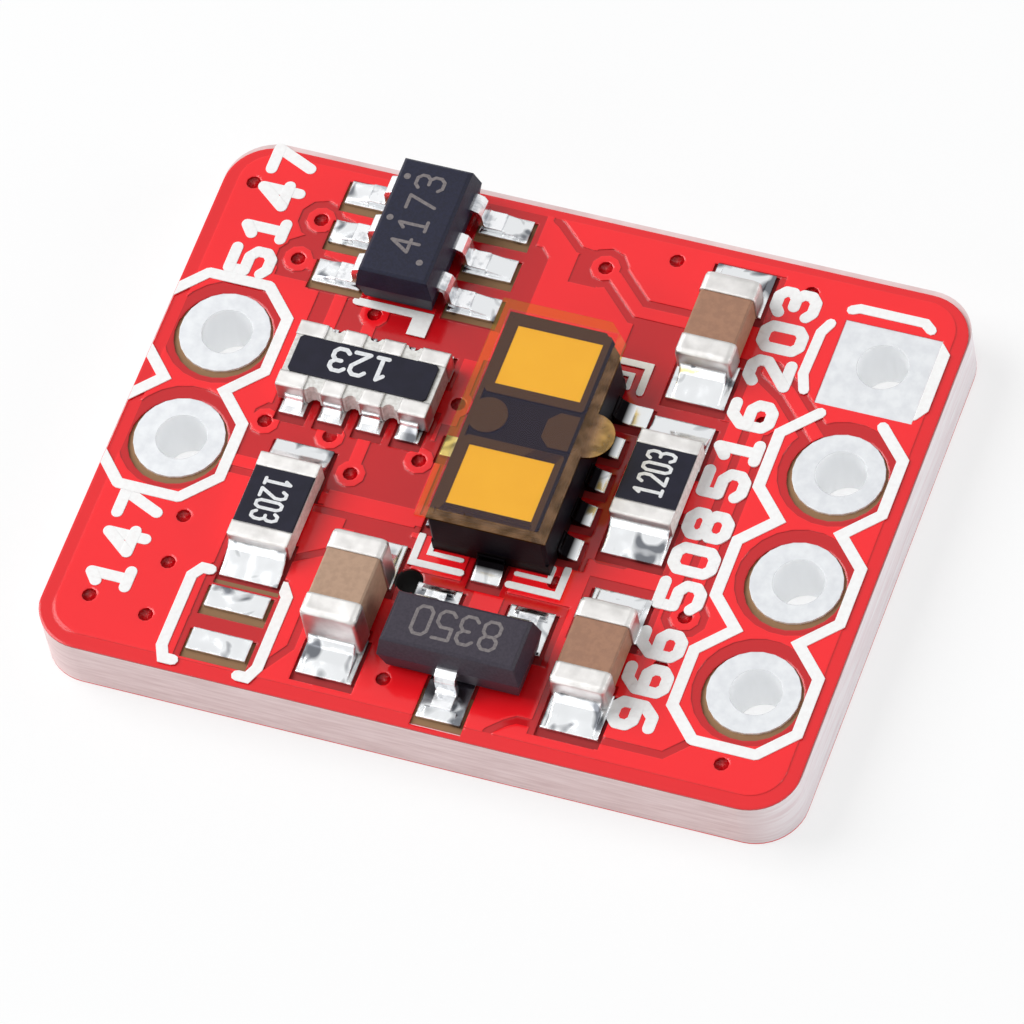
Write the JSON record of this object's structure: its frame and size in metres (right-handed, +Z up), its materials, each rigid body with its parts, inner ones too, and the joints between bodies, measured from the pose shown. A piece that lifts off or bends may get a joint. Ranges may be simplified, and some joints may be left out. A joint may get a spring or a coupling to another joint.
{
  "type": "distance sensor module",
  "caption": "Small red circuit board with plated pin holes along two edges, carrying a time-of-flight ranging sensor under amber film with its regulator, level shifter and passive parts.",
  "frame": {"origin": "centre of the board's underside, at the middle of the outline", "axes": "+Z up out of the side with the parts, +X towards the row of four pin holes, +Y towards the end of that row that has the square land"},
  "size_m": [0.0154, 0.012, 0.0025],
  "materials": {
    "silicon": "diced silicon, polished",
    "filter_glass": "optical filter, coated and polished",
    "tan_ceramic": "tan fired ceramic",
    "tinned_plating": "bright tin plating",
    "solder": "reflowed solder, satin",
    "brown_ceramic": "brown fired ceramic",
    "laminate": "sawn glass-epoxy edge, matt",
    "alumina": "white alumina ceramic",
    "resistor_glaze": "fired black overglaze",
    "legend_ink": "matt white printed ink",
    "epoxy_body": "moulded black epoxy, fine matt",
    "film": "clear amber polyimide film",
    "sensor_housing": "moulded black polymer, matt",
    "solder_mask": "semi-gloss red solder mask"
  },
  "bodies": {
    "root": {"emitter_chip": "silicon", "emitter_window": "filter_glass", "front_left_capacitor_ceramic": "tan_ceramic", "front_left_capacitor_end_caps": "tinned_plating", "front_left_capacitor_solder": "solder", "front_right_capacitor_ceramic": "brown_ceramic", "front_right_capacitor_end_caps": "tinned_plating", "front_right_capacitor_solder": "solder", "jumper_solder": "solder", "laminate": "laminate", "left_resistor_ceramic": "alumina", "left_resistor_end_caps": "tinned_plating", "left_resistor_glaze": "resistor_glaze", "left_resistor_solder": "solder", "legend_outlines": "legend_ink", "level_shifter_body": "epoxy_body", "level_shifter_leads": "tinned_plating", "level_shifter_solder": "solder", "plated_hole_left_1": "tinned_plating", "plated_hole_left_2": "tinned_plating", "plated_hole_right_1": "tinned_plating", "plated_hole_right_2": "tinned_plating", "plated_hole_right_3": "tinned_plating", "plated_hole_right_4": "tinned_plating", "protective_film": "film", "rear_right_capacitor_ceramic": "brown_ceramic", "rear_right_capacitor_end_caps": "tinned_plating", "rear_right_capacitor_solder": "solder", "receiver_chip": "silicon", "receiver_window": "filter_glass", "regulator_body": "epoxy_body", "regulator_leads": "tinned_plating", "regulator_solder": "solder", "resistor_array_ceramic": "alumina", "resistor_array_glaze": "resistor_glaze", "resistor_array_solder": "solder", "resistor_array_terminals": "tinned_plating", "right_resistor_ceramic": "alumina", "right_resistor_end_caps": "tinned_plating", "right_resistor_glaze": "resistor_glaze", "right_resistor_solder": "solder", "sensor_base": "sensor_housing", "sensor_cap": "sensor_housing", "sensor_lands": "tinned_plating", "sensor_solder": "solder", "solder_mask_bottom": "solder_mask", "solder_mask_top": "solder_mask"}
  },
  "joints": []
}
